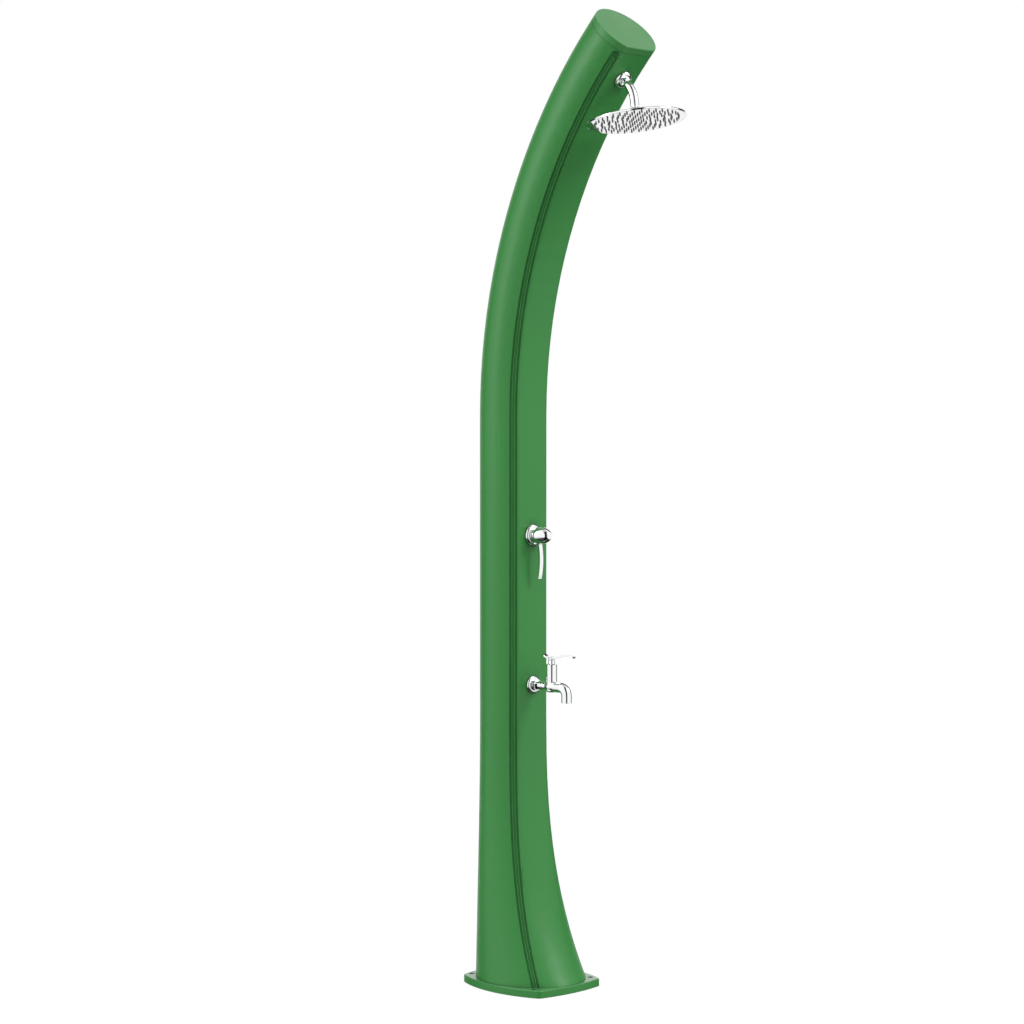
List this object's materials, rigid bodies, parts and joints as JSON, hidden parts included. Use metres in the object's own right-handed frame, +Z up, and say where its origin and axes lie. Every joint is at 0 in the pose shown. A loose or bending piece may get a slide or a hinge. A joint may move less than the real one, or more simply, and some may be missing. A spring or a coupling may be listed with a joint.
{
  "type": "outdoor shower post",
  "caption": "Forward-leaning moulded outdoor shower post with flared foot on a bolt-down plate, round rain head on a short ball-jointed arm, lever mixer and foot tap.",
  "frame": {"origin": "middle of the base plate's underside, on the floor", "axes": "+Z up, the front with the taps and the head faces -Y, +X to the post's own left as it faces forward"},
  "size_m": [0.2366, 0.5642, 2.0779],
  "materials": {
    "green_plastic": "satin moulded green plastic with a fine grain",
    "green_cap": "satin moulded green plastic",
    "chrome": "polished chrome plate",
    "brass": "as-cast and turned brass",
    "stainless": "turned stainless steel",
    "seal_rubber": "matt black rubber",
    "nozzle_rubber": "grey silicone",
    "pipe_plastic": "extruded grey-white plastic pipe",
    "grey_plastic": "moulded dark grey plastic"
  },
  "bodies": {
    "post": {"post_shell": "green_plastic", "top_cap": "green_cap", "cap_seal": "seal_rubber", "base_plate": "green_plastic", "base_screws": "stainless", "inlet_union": "brass", "inlet_seal": "seal_rubber", "inlet_nut": "brass", "inlet_tee": "brass", "tank_feed_valve": "brass", "drain_plug": "grey_plastic", "drain_seal": "seal_rubber", "cold_pipe_lower": "pipe_plastic", "tap_tee": "brass", "tap_branch_pipe": "pipe_plastic", "cold_pipe_upper": "pipe_plastic", "hot_pipe": "pipe_plastic", "hot_strainer": "grey_plastic", "riser_pipe": "pipe_plastic", "arm_elbow": "brass", "tap_nipple": "brass", "tap_gasket": "seal_rubber", "tap_wall_nut": "brass", "tap_rosette": "chrome", "arm_nipple": "brass", "arm_gasket": "seal_rubber", "arm_wall_nut": "brass", "arm_rosette": "chrome", "mixer_rosette": "chrome", "mixer_gasket": "seal_rubber", "mixer_wall_nut": "brass", "mixer_valve_body": "brass", "mixer_cartridge": "grey_plastic", "mixer_sleeve": "chrome", "tap_body": "chrome", "tap_aerator": "chrome", "tap_headwork": "brass", "tap_bonnet": "chrome", "shower_arm": "chrome", "arm_collar": "chrome", "arm_ball": "chrome"},
    "mixer_carrier": {"cartridge_carrier": "grey_plastic", "stem_pin": "stainless"},
    "mixer_handle": {"cartridge_stem": "stainless", "mixer_cap": "chrome", "mixer_lever": "chrome", "handle_screw": "stainless", "handle_plug": "grey_plastic"},
    "tap_handle": {"tap_spindle": "brass", "tap_lever": "chrome", "tap_lever_screw": "chrome"},
    "head_cup": {"ball_cup": "grey_plastic"},
    "shower_head": {"head_nut": "chrome", "head_top": "chrome", "head_gasket": "seal_rubber", "head_face": "chrome", "nozzle_mat": "nozzle_rubber"}
  },
  "joints": [
    {"name": "mixer_turn", "type": "hinge", "parent": "post", "child": "mixer_carrier", "pos_m": [0, -0.019, 0.975], "axis": [0, 1, 0], "range_deg": [-45, 45]},
    {"name": "mixer_lift", "type": "hinge", "parent": "mixer_carrier", "child": "mixer_handle", "pos_m": [0, -0.019, 0.975], "axis": [-1, 0, 0], "range_deg": [0, 20]},
    {"name": "tap_turn", "type": "hinge", "parent": "post", "child": "tap_handle", "pos_m": [0, -0.0643, 0.712], "axis": [0, 0, 1], "range_deg": [0, 90]},
    {"name": "head_tilt", "type": "hinge", "parent": "post", "child": "head_cup", "pos_m": [0, -0.30696, 1.8579], "axis": [1, 0, 0], "range_deg": [-10, 8]},
    {"name": "head_roll", "type": "hinge", "parent": "head_cup", "child": "shower_head", "pos_m": [0, -0.30696, 1.8579], "axis": [0, 0.988, -0.1547], "range_deg": [-10, 10]}
  ]
}
